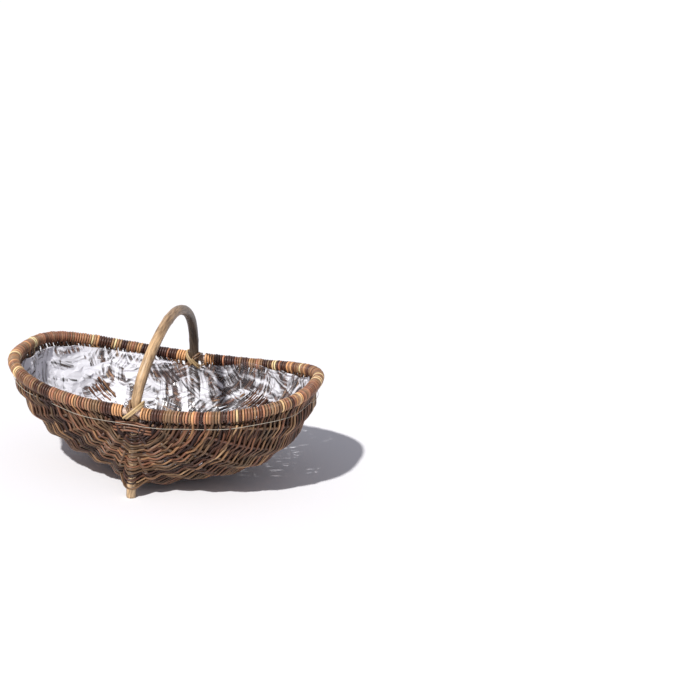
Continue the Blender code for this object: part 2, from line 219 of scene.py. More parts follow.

# Film: how much painted reflection, a diffuse white that stands in for the film's reflections, it
# has along the basket, what its bottom and top lose of that, and what shows
FILM_ALONG = ((0.10, 0.54), (0.36, 0.42), (0.56, 0.10), (0.84, 0.48))
FILM_CLEARER = ((0.20, 0.36), (0.50, 0.0), (0.60, 0.0), (0.80, 0.16))
FILM_COVER = ((0.00, 0.05), (0.14, 0.16), (0.30, 0.50), (0.52, 0.95))
FILM_GLINTS = ((0.44, 0.10), (0.58, 1.0))
SHARDS, SMALL_SHARDS = (17.0, (1.0, 0.6, 1.0), 0.5), (34.0, (0.6, 1.0, 1.0), 0.9)
BROAD_STREAKS, NARROW_STREAKS = (90.0, 1.0), (170.0, 2.0)
NOISE_STRENGTHS = (1.7, 1.7, 0.45, 0.25)
STREAK_STRETCH, SHARD_SHIFT = 0.09, 91.0
CREASES, CREASE_HEIGHT, STREAK_HEIGHT = (60.0, 5.0, 0.7), 0.5, 1.2
LEAST_SHINE, EDGE_SHINE = 0.06, 0.35
FILM_CLEAR, FILM_GLOSS = (0.95, 0.95, 0.98, 1.0), (0.97, 0.97, 1.0, 1.0)
FILM_REFLECTION_WHITE = (0.90, 0.90, 0.96, 1.0)

# Camera and light. The angles are in degrees: down, to the right and rolled.
CAMERA_PLACE = (0.9437, -2.7466, 1.128)
CAMERA_ANGLES = (17.051, -12.553, 3.959)
FOCAL_PIXELS, IMAGE_PIXELS, SENSOR_WIDTH = 1700, 700, 36.0
FLOOR_SIZE, FLOOR_HEIGHT = 12.0, -0.0002
SUN_STRENGTH, SUN_WIDTH = 3.6, 2
SUN_FROM_ABOVE, SUN_AROUND = 42, 180 + 74
SKY_STRENGTH = 0.35


# Lines and the body's surface


def spower(value, exponent):
    return np.sign(value) * np.abs(value) ** exponent


def unit(vectors):
    return vectors / np.maximum(np.linalg.norm(vectors, axis=-1, keepdims=True), 1e-12)


def arc_length(points):
    """The length along a line up to each of its points."""
    return np.append(0, np.cumsum(np.linalg.norm(np.diff(points, axis=0), axis=1)))


def resample(points, step=None, count=None, extra=()):
    """Points at equal steps along a line, the length up to each, and other values there."""
    run = arc_length(points)
    count = count or max(int(round(run[-1] / step)) + 1, 4)
    stops = np.linspace(0, run[-1], count)
    line = np.stack([np.interp(stops, run, points[:, k]) for k in range(3)], -1)
    return [line, stops] + [np.interp(stops, run, e) for e in extra]


def smooth_line(points, rounds):
    points = points.copy()
    for _ in range(rounds):
        points[1:-1] = 0.25 * points[:-2] + 0.5 * points[1:-1] + 0.25 * points[2:]
    return points


def smooth_noise(size, over, count):
    """Random steps of a size, evened out over some points."""
    return np.convolve(RNG.normal(0, size, count), np.ones(over) / over, "same")


def on_half(points, end):
    """Points of the front half as they are for end -1, and mirrored to the rear half for end 1."""
    return points * [1, -end, 1]


def rim_height(x):
    return RIM_HEIGHT + RIM_RISE * np.abs(x / RIM_HALF_LENGTH) ** RIM_RISE_POWER


def squareness(turn):
    low = np.clip(np.cos(turn), 0, 1)
    return RIM_SQUARENESS + KEEL_SQUARENESS * low**8 + LEG_SQUARENESS * low**60


def fullness(sweep, turn):
    middle = np.where(turn < 0, LEFT_FULLNESS, RIGHT_FULLNESS)
    return EAR_FULLNESS + (middle - EAR_FULLNESS) * np.sin(sweep)


def middle_point(sweep, turn):
    """Points in the middle of the weave, as the solids have them."""
    m = squareness(turn)
    full = fullness(sweep, turn)
    out = np.abs(np.sin(sweep)) ** (2 / m)
    x = RIM_HALF_LENGTH * out * spower(np.sin(turn), 2 / full)
    y = -RIM_HALF_WIDTH * spower(np.cos(sweep), 2 / m)
    depth = out * np.abs(np.cos(turn)) ** (2 / full)
    return np.stack([x, y, rim_height(x) * (1 - depth) + BELLY_HEIGHT * depth], -1)


def outward(sweep, turn):
    """The body's outward normal."""
    step = 2e-3
    low, high = np.maximum(sweep - step, 1e-4), np.minimum(sweep + step, math.pi - 1e-4)
    left, right = np.maximum(turn - step, -math.pi / 2), np.minimum(turn + step, math.pi / 2)
    along = middle_point(high, turn) - middle_point(low, turn)
    across = middle_point(sweep, right) - middle_point(sweep, left)
    return unit(np.cross(along, across))


def sweep_turn(x, depth):
    """The sweep and turn, on the front half, of the point at x that lies that far down."""
    wide = np.abs(x) / RIM_HALF_LENGTH
    sine = np.full_like(wide, 0.7)
    side = np.where(x < 0, LEFT_FULLNESS, RIGHT_FULLNESS)
    for _ in range(30):
        full = EAR_FULLNESS + (side - EAR_FULLNESS) * sine
        out = np.clip((wide**full + depth**full) ** (1 / full), 1e-6, 1.0)
        turn = np.arctan2(wide ** (full / 2), np.maximum(depth, 0) ** (full / 2))
        sine = 0.5 * sine + 0.5 * out ** (squareness(turn) / 2)
    return np.arcsin(np.clip(sine, 0, 1)), turn * np.sign(x)


def rim_line():
    """The front half of the rim, from the left end to the right one, and lengths from the ear."""
    angle = np.linspace(math.pi, 2 * math.pi, 2001)
    x = RIM_HALF_LENGTH * spower(np.cos(angle), 2 / RIM_SQUARENESS)
    y = RIM_HALF_WIDTH * spower(np.sin(angle), 2 / RIM_SQUARENESS)
    points = np.stack([x, y, rim_height(x)], -1)
    run = arc_length(points)
    return points, run - run[-1] / 2


RIM_POINTS, RIM_RUN = rim_line()


def rim_point(run):
    return np.stack([np.interp(run, RIM_RUN, RIM_POINTS[:, k]) for k in range(3)], -1)


def rim_frame(run):
    """The rim's middle, outward and upward vectors at lengths from the front ear."""
    step = 1e-3
    forward = unit(rim_point(run + step) - rim_point(run - step))
    out = unit(np.cross(forward, np.array([0.0, 0.0, 1.0])))
    return rim_point(run), out, unit(np.cross(out, forward))


# Meshes


def make_piece(name, verts, faces, attributes, look, nodes, smooth=True):
    """A mesh that rides on the one body and stands for CAD nodes."""
    mesh = bpy.data.meshes.new(name)
    mesh.from_pydata(verts.tolist(), [], faces)
    for key, values in attributes.items():
        layer = mesh.attributes.new(key, "FLOAT", "POINT")
        layer.data.foreach_set("value", np.ascontiguousarray(values, dtype=np.float32))
    if smooth:
        mesh.shade_smooth()
    mesh.materials.append(look)
    made = bpy.data.objects.new(name, mesh)
    bpy.context.scene.collection.objects.link(made)
    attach(made, "root")
    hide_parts(*nodes)
    return made


def carried_up(forward):
    """A sideways direction at each point, carried along the line without twisting."""
    up = np.zeros_like(forward)
    now = np.cross(forward[0], [0.3, 0.5, 0.8])
    for n in range(len(forward)):
        now = now - forward[n] * np.dot(now, forward[n])
        now = now / max(np.linalg.norm(now), 1e-9)
        up[n] = now
    return up


class Bundle:
    """Many rods in one mesh. Each point keeps the length along its rod, the cosine and sine of
    its place round the rod, and the rod's own number."""

    KEYS = ("along", "outer", "round", "seed")

    def __init__(self):
        self.verts, self.faces, self.values, self.count = [], [], [], 0

    def add(self, points, radii, seed, sides=8, up=None, flat=1.0, start=0.0):
        """A rod along points. Flat is its thickness along up, as a share of its width."""
        count = len(points)
        if count < 3:
            return
        forward = unit(np.gradient(points, axis=0))
        if up is None:
            up = carried_up(forward)
        up = unit(up - forward * np.sum(up * forward, -1, keepdims=True))
        side = np.cross(forward, up)
        angle = np.linspace(0, 2 * math.pi, sides, endpoint=False)
        radii = np.broadcast_to(radii, (count,))[:, None, None]
        ring = np.cos(angle)[None, :, None] * up[:, None] * flat
        ring = (ring + np.sin(angle)[None, :, None] * side[:, None]) * radii + points[:, None]
        self.verts.append(ring.reshape(-1, 3))
        values = np.zeros((count, sides, len(self.KEYS)))
        values[..., 0] = (arc_length(points) + start)[:, None]
        values[..., 1] = np.cos(angle)
        values[..., 2] = np.sin(angle)
        values[..., 3] = seed
        self.values.append(values.reshape(-1, len(self.KEYS)))
        base, places = self.count, np.arange(sides)
        rings = base + np.arange(count - 1)[:, None] * sides
        here, after = rings + places, rings + (places + 1) % sides
        quads = np.stack([here, after, after + sides, here + sides], -1).reshape(-1, 4)
        self.faces.extend(quads.tolist())
        self.faces.append(list(range(base, base + sides))[::-1])
        self.faces.append(list(range(base + (count - 1) * sides, base + count * sides)))
        self.count += count * sides

    def make(self, name, look, slot, nodes):
        attributes = dict(zip(self.KEYS, np.concatenate(self.values).T))
        make_piece(name, np.concatenate(self.verts), self.faces, attributes, look, nodes)


# Materials


def new_material(name):
    made = bpy.data.materials.new(name)
    made.use_nodes = True
    tree = made.node_tree
    tree.nodes.clear()
    return made, tree, tree.nodes.new("ShaderNodeOutputMaterial")


def node(tree, kind, links=(), **settings):
    """A shader node; links are (input, socket or constant)."""
    made = tree.nodes.new(kind)
    for key, value in settings.items():
        setattr(made, key, value)
    for key, value in links:
        if isinstance(value, bpy.types.NodeSocket):
            tree.links.new(value, made.inputs[key])
        else:
            made.inputs[key].default_value = value
    return made


def maths(tree, operation, first, second=0.0):
    return node(tree, "ShaderNodeMath", ((0, first), (1, second)), operation=operation).outputs[0]


def scaled(tree, value, factor):
    return maths(tree, "MULTIPLY", value, factor)


def add_noise(tree, value, noise, strength):
    """A value with noise round one half added at some strength."""
    return maths(tree, "ADD", value, scaled(tree, maths(tree, "SUBTRACT", noise, 0.5), strength))


def attribute(tree, name):
    return node(tree, "ShaderNodeAttribute", attribute_name=name).outputs["Fac"]


def vector(tree, *parts):
    return node(tree, "ShaderNodeCombineXYZ", tuple(enumerate(parts))).outputs[0]


def noise_at(tree, place, scale, detail, roughness):
    return node(tree, "ShaderNodeTexNoise", (
        ("Vector", place), ("Scale", scale), ("Detail", detail), ("Roughness", roughness),
    )).outputs["Fac"]


def ramp(tree, value, stops):
    made = node(tree, "ShaderNodeValToRGB", (("Fac", value),))
    elements = made.color_ramp.elements
    while len(elements) < len(stops):
        elements.new(0.5)
    for element, (place, colour) in zip(elements, stops):
        element.position = place
        element.color = (*colour, 1.0)
    return made.outputs["Color"]


def grey_ramp(tree, value, stops):
    return ramp(tree, value, [(place, (grey,) * 3) for place, grey in stops])


def blend(tree, fac, first, second, kind="MIX"):
    links = ((0, fac), (6, first), (7, second))
    return node(tree, "ShaderNodeMix", links, data_type="RGBA", blend_type=kind).outputs[2]


def mix_shaders(tree, fac, first, second):
    return node(tree, "ShaderNodeMixShader", (
        (0, fac), (1, first.outputs[0]), (2, second.outputs[0]),
    ))


def rod_material(
    name, palette, streak=0.5, sheen=0.5, rough=0.42, bump=0.25, fine=1.0, painted_light=0.0, length=0.0
):
    """Bark or wood that runs along a rod: a colour for each rod, streaks and patches.

    Painted light darkens the sides that lie against the next rods as painted shade, and lightens
    the faces out from and in to the body as a painted highlight. With a length, the palette runs
    along the rod.
    """
    made, tree, out = new_material(name)
    along, cosine, sine, seed = (attribute(tree, key) for key in Bundle.KEYS)
    shifted_sine = maths(tree, "ADD", sine, scaled(tree, seed, SEED_SHIFT))

    def noise(scale_along, scale_round, detail):
        place = vector(
            tree,
            scaled(tree, along, scale_along * fine),
            scaled(tree, cosine, scale_round),
            scaled(tree, shifted_sine, scale_round),
        )
        return noise_at(tree, place, 1.0, detail, 0.6)

    colour = ramp(tree, maths(tree, "DIVIDE", along, length) if length else seed, palette)
    patches, streaks = noise(*PATCHES), noise(*STREAKS)
    colour = blend(tree, PATCH_STRENGTH, colour, ramp(tree, patches, PATCH_TONES), "MULTIPLY")
    colour = blend(tree, streak, colour, ramp(tree, streaks, STREAK_TONES), "MULTIPLY")
    # Painted shade on the sides that lie against the next rods, painted highlight on the faces out
    # and in
    if painted_light:
        painted_light_tone = ramp(tree, maths(tree, "ABSOLUTE", cosine), PAINTED_LIGHT_TONES)
        colour = blend(tree, painted_light, colour, painted_light_tone, "MULTIPLY")
    height = node(tree, "ShaderNodeBump", (
        ("Strength", bump), ("Distance", STREAK_RELIEF), ("Height", streaks),
    )).outputs["Normal"]
    roughness = maths(
        tree, "ADD", scaled(tree, patches, ROUGHNESS_SPREAD), rough - ROUGHNESS_DROP
    )
    shader = node(tree, "ShaderNodeBsdfPrincipled", (
        ("Base Color", colour), ("Roughness", roughness), ("Normal", height),
        ("Specular IOR Level", sheen),
    ))
    tree.links.new(shader.outputs[0], out.inputs["Surface"])
    return made


def film_material():
    """Thin clear film, crumpled: shards, clear or with painted reflection, each with streaks that
    run its own way. The painted reflection is a diffuse white that stands in for the film's
    reflections.
    """
    made, tree, out = new_material("film")
    coordinates = node(tree, "ShaderNodeTexCoord").outputs["Object"]
    flat_x, flat_y = attribute(tree, "flat_x"), attribute(tree, "flat_y")
    flat = vector(tree, flat_x, flat_y)

    def shards(scale, stretch, turn):
        """Two random numbers for each angular shard of the sheet."""
        place = node(tree, "ShaderNodeMapping", (
            ("Vector", flat), ("Rotation", (0.0, 0.0, turn)), ("Scale", stretch),
        )).outputs[0]
        cells = node(tree, "ShaderNodeTexVoronoi", (
            ("Vector", place), ("Scale", scale),
        ), voronoi_dimensions="2D")
        return node(tree, "ShaderNodeSeparateColor", ((0, cells.outputs["Color"]),)).outputs[:2]

    def streaks(way, scale, detail):
        """Noise drawn out along a direction of each shard's own."""
        angle = scaled(tree, way, 2 * math.pi)
        cosine, sine = maths(tree, "COSINE", angle), maths(tree, "SINE", angle)
        along = maths(tree, "ADD", scaled(tree, flat_x, cosine), scaled(tree, flat_y, sine))
        across = maths(tree, "SUBTRACT", scaled(tree, flat_y, cosine), scaled(tree, flat_x, sine))
        place = vector(
            tree,
            scaled(tree, across, scale),
            scaled(tree, along, scale * STREAK_STRETCH),
            scaled(tree, way, SHARD_SHIFT),
        )
        return noise_at(tree, place, 1.0, detail, 0.5)

    way, tone = shards(*SHARDS)
    small_way, fleck = shards(*SMALL_SHARDS)
    broad = streaks(way, *BROAD_STREAKS)
    narrow = streaks(small_way, *NARROW_STREAKS)
    x, _, z = node(tree, "ShaderNodeSeparateXYZ", ((0, coordinates),)).outputs
    # Painted reflection: how white each place is, by its place along the basket, its shard and
    # streak noise and its height
    reflection_share = grey_ramp(tree, maths(tree, "ADD", scaled(tree, x, 2.0), 0.5), FILM_ALONG)
    for noise, strength in zip((broad, narrow, tone, fleck), NOISE_STRENGTHS):
        reflection_share = add_noise(tree, reflection_share, noise, strength)
    reflection_share = maths(tree, "SUBTRACT", reflection_share, grey_ramp(tree, scaled(tree, z, 5.0), FILM_CLEARER))
    cover = grey_ramp(tree, reflection_share, FILM_COVER)
    crease = noise_at(tree, coordinates, *CREASES)
    height = maths(
        tree, "ADD", scaled(tree, crease, CREASE_HEIGHT), scaled(tree, broad, STREAK_HEIGHT)
    )
    normal = node(tree, "ShaderNodeBump", (
        ("Strength", 0.7), ("Distance", 0.0020), ("Height", height),
    )).outputs["Normal"]
    facing = node(tree, "ShaderNodeLayerWeight", (("Blend", 0.35), ("Normal", normal)))
    shine = maths(tree, "ADD", scaled(tree, facing.outputs["Facing"], EDGE_SHINE), LEAST_SHINE)
    shine = scaled(tree, shine, grey_ramp(tree, narrow, FILM_GLINTS))
    clear = node(tree, "ShaderNodeBsdfTransparent", (("Color", FILM_CLEAR),))
    gloss = node(tree, "ShaderNodeBsdfGlossy", (
        ("Color", FILM_GLOSS), ("Roughness", 0.18), ("Normal", normal),
    ))
    # Painted reflection: a diffuse white that stands in for the film's reflections
    painted_reflection = node(tree, "ShaderNodeBsdfDiffuse", (("Color", FILM_REFLECTION_WHITE), ("Normal", normal)))
    shader = mix_shaders(tree, cover, mix_shaders(tree, shine, clear, gloss), painted_reflection)
    tree.links.new(shader.outputs[0], out.inputs["Surface"])
    return made


def plain_material(name, colour, rough):
    """One colour with fine specks in it."""
    made, tree, out = new_material(name)
    coordinates = node(tree, "ShaderNodeTexCoord").outputs["Object"]
    speck = node(tree, "ShaderNodeTexNoise", (("Vector", coordinates), ("Scale", 300.0)))
    darker = (*[c * 0.8 for c in colour], 1.0)
    base = blend(tree, speck.outputs["Fac"], darker, (*colour, 1.0))
    shader = node(tree, "ShaderNodeBsdfPrincipled", (("Base Color", base), ("Roughness", rough)))
    tree.links.new(shader.outputs[0], out.inputs["Surface"])
    return made


# Ribs and legs


def rib_turns(side):
    """The turns of one side's ribs, at equal steps from the keel to the rim."""
    angles = np.linspace(0, side * math.pi / 2, 400)
    run = arc_length(middle_point(np.full_like(angles, math.pi / 2), angles))
    return np.interp(np.linspace(0, run[-1], len(RIB_STARTS) + 2), run, angles)[1:-1]


def rib_list():
    """Each rib's turn and the sweep where it starts, from the left rim to the right one."""
    whole_rim = np.concatenate([RIM_POINTS, RIM_POINTS * MIRROR])[::4]

    def to_rim(start, turn):
        point = middle_point(math.radians(start), turn)
        return np.linalg.norm(whole_rim - point, axis=1).min()

    ribs = []
    for side in (-1, 1):
        for turn, start in zip(rib_turns(side), RIB_STARTS):
            while to_rim(start, turn) < RIB_TO_RIM:
                start += RIB_START_STEP
            ribs.append((turn, math.radians(start)))
    behind_leg = FOOT_SPREAD - HANDLE_ROD_RADIUS - KEEL_RADIUS - KEEL_TO_LEG
    ribs.append((0.0, math.acos((behind_leg / RIM_HALF_WIDTH) ** (squareness(0.0) / 2))))
    return sorted(ribs)


RIBS = rib_list()


def make_ribs(look):
    bundle = Bundle()
    for n, (turn, start) in enumerate(RIBS):
        sweep = np.linspace(start, math.pi - start, 300)
        line = resample(middle_point(sweep, np.full_like(sweep, turn)), step=0.005)[0]
        bundle.add(line, RIB_RADIUS, 0.1 + 0.8 * (n * 5 % len(RIBS)) / len(RIBS))
    names = ["rib_keel"] + [f"rib_{side}_{n}" for side in ("left", "right") for n in range(1, 7)]
    bundle.make("ribs", look, "rib_wood", names)


def leg_y(z):
    """How far out the leg's middle is, at a height."""
    share = np.clip((z - FOOT_LENGTH) / (RIM_HEIGHT - FOOT_LENGTH), 0, 1)
    return FOOT_SPREAD + (LEG_AT_RIM - FOOT_SPREAD) * share


# Weave


def row_shapes():
    """Each row's reach along the rim from the ear, and its depth at the keel."""
    reaches = np.linspace(WRAP_END, RIM_RUN[-1] - LAST_ROW_TO_SEAM, ROWS)
    depths = np.linspace(FIRST_ROW_DEPTH, 1.0, 400)
    sweep, turn = sweep_turn(np.full_like(depths, 1e-5), np.minimum(depths, 0.9999))
    run = arc_length(middle_point(sweep, turn))
    share = np.linspace(0, 1, ROWS)
    first = ROW_STEP_ON_LEG * (ROWS - 1) / run[-1]
    down = run[-1] * (first * share + (1 - first) * share**3)
    return reaches, np.interp(down, run, depths)


def row_path(reach, depth, share, step):
    """A row's middle line on the front half, from its left rim end to its right one.

    Gives its points at a step, the length up to each, and their sweeps and turns.
    """
    angle = np.linspace(-math.pi / 2, math.pi / 2, 600)
    ends = [abs(np.interp(side * reach, RIM_RUN, RIM_POINTS[:, 0])) for side in (-1, 1)]
    x_end = np.where(angle < 0, ends[0], ends[1])
    full = np.where(angle < 0, LEFT_FULLNESS, RIGHT_FULLNESS)
    at_ear = np.where(angle < 0, *ROW_FULLNESS)
    full = at_ear + (full - at_ear) * share
    x = x_end * spower(np.sin(angle), 2 / full)
    flat = FLAT_OVER_LEG * (1 - share) ** 0.5
    wide = (np.hypot(x, flat) - flat) / (np.hypot(x_end, flat) - flat)
    down = min(depth, LAST_ROW_DEPTH) * np.clip(1 - wide**full, 0, 1) ** (1 / full)
    sweep, turn = sweep_turn(x, down)
    return resample(middle_point(sweep, turn), step=step, extra=(sweep, turn))


def crossings(turn, sweep, run, row):
    """Where a row crosses ribs, the leg and the rim, and on which side of each it passes."""
    order = np.argsort(turn)
    turn, sweep, run = turn[order], sweep[order], run[order]
    places, kinds = [], []
    for rib_turn, start in RIBS:
        place = np.interp(rib_turn, turn, run)
        on_leg = rib_turn == 0.0 and np.interp(place, run, sweep) < start
        clear = run[0] + RIB_CLEAR_OF_END < place < run[-1] - RIB_CLEAR_OF_END
        if on_leg or (np.interp(place, run, sweep) > start and clear):
            places.append(place)
            kinds.append("leg" if on_leg else "rib")
    middle = int(np.argmin(np.abs(np.array(places) - np.interp(0.0, turn, run))))
    places, kinds = [run[0], *places, run[-1]], ["rim", *kinds, "rim"]
    sides = [1 if (abs(n - middle - 1) + row) % 2 else -1 for n in range(len(places))]
    return places, kinds, sides


def row_offset(line, run, turn, places, kinds, sides):
    """How far a row stands out at each point: over or under what it crosses, and dipping inwards
    between."""
    levels, leg = [], None
    for place, kind, side in zip(places, kinds, sides):
        if kind == "leg":
            gap = np.interp(place, run, -line[:, 1]) - leg_y(np.interp(0.0, turn, line[:, 2]))
            levels.append(side * OVER_LEG - gap)
            leg = (place, side, gap)
        else:
            levels.append(side * SWAY * (RIM_SWAY if kind == "rim" else 1.0))
    bay = np.clip(np.searchsorted(places, run, "right") - 1, 0, len(places) - 2)
    deep = np.array([END_DIP] + [1.0] * (len(places) - 3) + [END_DIP])
    places, levels = np.array(places), np.array(levels)
    within = np.clip((run - places[bay]) / (places[bay + 1] - places[bay]), 0, 1)
    ease = 0.5 * within + (1 - np.cos(math.pi * within)) / 4
    offset = levels[bay] * (1 - ease) + levels[bay + 1] * ease
    offset = offset - DIP * np.sin(math.pi * within) * deep[bay]
    if leg:
        place, side, gap = leg
        bend = side * np.sqrt(np.clip(OVER_LEG**2 - (run - place) ** 2, 0, None)) - gap
        bent = np.maximum(offset, bend) if side > 0 else np.minimum(offset, bend)
        offset = np.where(np.abs(run - place) < OVER_LEG, bent, offset)
    return offset


def make_weave(end, wraps):
    """All rows of one half. End is -1 for the front and 1 for the rear."""
    reaches, depths = row_shapes()
    bands = [Bundle() for _ in range(BANDS)]
    shade = 0.4
    for row, (reach, depth) in enumerate(zip(reaches, depths)):
        line, run, sweep, turn = row_path(reach, depth, row / (ROWS - 1), ROW_STEP)
        places, kinds, sides = crossings(turn, sweep, run, row)
        normal = outward(sweep, turn)
        offset = row_offset(line, run, turn, places, kinds, sides)
        line = line + normal * (offset + smooth_noise(WANDER, WANDER_POINTS, len(run)))[:, None]
        slip = smooth_noise(SLIP, SLIP_POINTS, len(run)) + RNG.normal(0, ROW_SLIP)
        line = line + unit(np.cross(normal, np.gradient(line, axis=0))) * slip[:, None]
        line = smooth_line(line, 1)
        left, left_up, first = rim_end(-reach, line, normal, sides[0], -1)
        right, right_up, last = rim_end(reach, line[::-1], normal[::-1], sides[-1], 1)
        core = slice(first, len(line) - last)
        points = smooth_line(np.concatenate([left[::-1], line[core], right]), 1)
        ups = np.concatenate([left_up[::-1], normal[core], right_up])
        if row % int(RNG.integers(2, 6)) == 0:
            shade = RNG.uniform(0, 1)
        by_ear = next((tone for rows, tone in EAR_WRAPS if row < rows), None)
        thick = ROD_RADIUS * RNG.uniform(*ROW_THICKNESS)
        band = bands[BANDS * row // ROWS]
        add_row(band, wraps, on_half(points, end), on_half(ups, end), thick, shade, by_ear)
    make_gap_shade_rods(bands, end, reaches, depths)
    make_ear_rods(bands[0], end)
    return bands


def make_gap_shade_rods(bands, end, reaches, depths):
    """Short dark rods on the inside that darken the gaps between the rows below the rim: painted
    shade.

    They start lower at the left of the rear half, where the weave is open under the rim.
    """
    for row in range(ROWS):
        after = min(row + 1, ROWS - 1)
        reach, depth = (reaches[row] + reaches[after]) / 2, (depths[row] + depths[after]) / 2
        share = (row + after) / 2 / (ROWS - 1)
        line, _, sweep, turn = row_path(reach, depth, share, PACKING_STEP)
        up = outward(sweep, turn)
        inside = line - up * (PACKING_INSET + RNG.normal(0, PACKING_WANDER, len(line)))[:, None]
        longer = LONG_PACKING * (row > ROWS - LONG_PACKING_ROWS)
        for part, part_up, open_top in ((inside, up, end > 0), (inside[::-1], up[::-1], False)):
            low = int(RNG.integers(*PACKING_START)) + OPEN_TOP * open_top
            high = min(int(RNG.integers(*PACKING_LENGTH)) + longer, len(part) // 2 - 1)
            piece, piece_up = on_half(part[low:high], end), on_half(part_up[low:high], end)
            if len(piece) < SHORTEST_PACKING:
                continue
            # Dark tones: painted shade in the weave's gaps
            thick, seed = ROD_RADIUS * RNG.uniform(*PACKING_THICKNESS), RNG.uniform(*GAP_SHADE_TONES)
            bands[BANDS * row // ROWS].add(piece, thick, seed, sides=6, up=piece_up)


def make_ear_rods(band, end):
    """Short rods that lie nearly level across the leg, above the first row."""
    for depth in np.linspace(*EAR_ROD_DEPTHS):
        reach = RNG.uniform(*EAR_ROD_REACH)
        x = np.linspace(-reach, reach, 41)
        outer = np.abs(x / reach)
        depth = depth + RNG.uniform(-EAR_ROD_SPREAD, EAR_ROD_SPREAD)
        sweep, turn = sweep_turn(x, depth + EAR_ROD_DROOP * outer**2)
        middle = middle_point(sweep, turn)
        _, leg_point, leg_height = middle[len(x) // 2]
        clear = leg_y(leg_height) + OVER_LEG + EAR_ROD_GAP + leg_point
        ease = np.exp(-((x / EAR_ROD_OVER_LEG) ** 2))
        offset = clear * ease + EAR_ROD_OUT * (1 - ease) - EAR_ROD_TUCK * outer**8
        up = outward(sweep, turn)
        points = middle + up * offset[:, None]
        thick, seed = ROD_RADIUS * RNG.uniform(*EAR_ROD_THICKNESS), RNG.uniform(*EAR_ROD_TONES)
        band.add(on_half(points, end), thick, seed, up=on_half(up, end))


def hermite(start, heading, end, arrival, count):
    """Points of a smooth line between two ends that leaves and arrives in given directions."""
    reach = np.linalg.norm(end - start)
    t = np.linspace(0, 1, count + 2)[1:-1, None]
    return (
        (2 * t**3 - 3 * t**2 + 1) * start + (t**3 - 2 * t**2 + t) * heading * reach
        + (3 * t**2 - 2 * t**3) * end + (t**3 - t**2) * arrival * reach
    )


def rim_end(run, line, normal, side, hand):
    """A row's end, from the body up round the rim.

    Gives its points, ups, and how many points of the line it takes the place of.
    """
    pitch = (RIM_RUN[-1] - WRAP_END) / (ROWS - 1)
    angles = np.radians(np.linspace(*WRAP_ANGLES[side], WRAP_STEPS))
    steps = run + hand * pitch * (angles - math.pi) / (2 * math.pi)
    steps = np.clip(steps, RIM_RUN[0] + WRAP_TO_SEAM, RIM_RUN[-1] - WRAP_TO_SEAM)
    points, out, up = rim_frame(steps)
    away = np.sin(angles)[:, None] * out - np.cos(angles)[:, None] * up
    ring = points + away * (RIM_ROD_RADIUS + WRAP_RADIUS * WRAP_SEAT)
    drop = 0
    distance = np.linalg.norm(line - points[0], axis=1)
    while drop < len(line) - SHORTEST_ROW and distance[drop] < WRAP_LEAVES_WEAVE:
        drop += 1
    heading = unit(line[drop] - line[min(drop + 2, len(line) - 1)])
    bridge = hermite(line[drop], heading, ring[0], unit(ring[1] - ring[0]), BRIDGE_POINTS)
    ups = np.concatenate([np.broadcast_to(normal[drop], bridge.shape) * side, away])
    return np.concatenate([bridge, ring]), ups, drop


def thicken(radii):
    """The wrapped end's radii: thick round the rim and thinner where it joins the weave."""
    ease = np.clip(np.linspace(6, 0, len(radii)), 0, 1)
    return radii * (1 + (WRAP_RADIUS / ROD_RADIUS - 1) * ease)


def row_marks(total):
    """The points where a row of so many points is cut into rods, and its two ends."""
    cuts = []
    place = int(RNG.integers(*FIRST_CUT))
    while place < total - CUT_TO_END:
        if place > CUT_FROM:
            cuts.append(place)
        place += int(RNG.integers(*NEXT_CUT))
    return [0] + cuts + [total - 1]


def add_row(band, wraps, points, ups, thick, shade, by_ear):
    """Cuts a row into rods. The wrapped ends go to the rim's wraps, the rest to the weave."""
    total = len(points)
    marks = row_marks(total)
    ring = WRAP_STEPS
    for n, (low, high) in enumerate(zip(marks, marks[1:])):
        seed = float(np.clip(shade + RNG.normal(0, SHADE_SPREAD), 0, 1))
        shade = shade if RNG.random() < 0.5 else RNG.uniform(0, 1)
        a, b = max(low - 2, 0), min(high + 3, total)
        part, up = points[a:b].copy(), ups[a:b]
        swell = np.sin(np.linspace(0, 3, len(part)) + RNG.uniform(0, 6))
        radii = thick * (1 + SWELL * swell)
        if low > 0:
            part[:4] -= up[:4] * np.linspace(TUCK, 0, 4)[:, None]
            radii[:3] *= TAPER
        if high < total - 1:
            part[-4:] -= up[-4:] * np.linspace(0, TUCK, 4)[:, None]
            radii[-3:] *= TAPER[::-1]
        tone = seed
        if by_ear is not None:
            tone = float(np.clip(by_ear + RNG.normal(0, EAR_SHADE_SPREAD), 0, 1))
        start, stop = 0, len(part)
        if low == 0:
            here = slice(0, ring + 1)
            wraps[0].add(part[here], thicken(radii[here]), tone, up=up[here], flat=WRAP_FLATNESS)
            start = ring
        if high == total - 1:
            here = slice(len(part) - ring - 1, None)
            around = thicken(radii[here][::-1])[::-1]
            wraps[1].add(part[here], around, tone, up=up[here], flat=WRAP_FLATNESS)
            stop = len(part) - ring
        body = slice(start, stop)
        band.add(part[body], radii[body], seed, up=up[body], start=PATTERN_SHIFT * n)


# Handle, rim rod, lashings and thread


def handle_line():
    """The middle of the handle rod, from the front foot over the arch to the rear foot."""
    t = np.linspace(0, math.pi / 2, 60)
    up = np.sin(t) ** (2 / ARCH_ROUNDNESS)
    inset = np.cos(t) ** (2 / ARCH_ROUNDNESS)
    arch = np.stack(
        [HANDLE_LEAN * up**1.5, -LEG_AT_RIM * inset, RIM_HEIGHT + HANDLE_RISE * up], -1
    )
    heights = np.linspace(0, RIM_HEIGHT, 30)[:-1]
    leg = np.stack([np.zeros(len(heights)), -leg_y(heights), heights], -1)
    front = np.concatenate([leg, arch])
    rear = (front * MIRROR)[::-1]
    return smooth_line(resample(np.concatenate([front, rear[1:]]), step=0.0025)[0], 6)


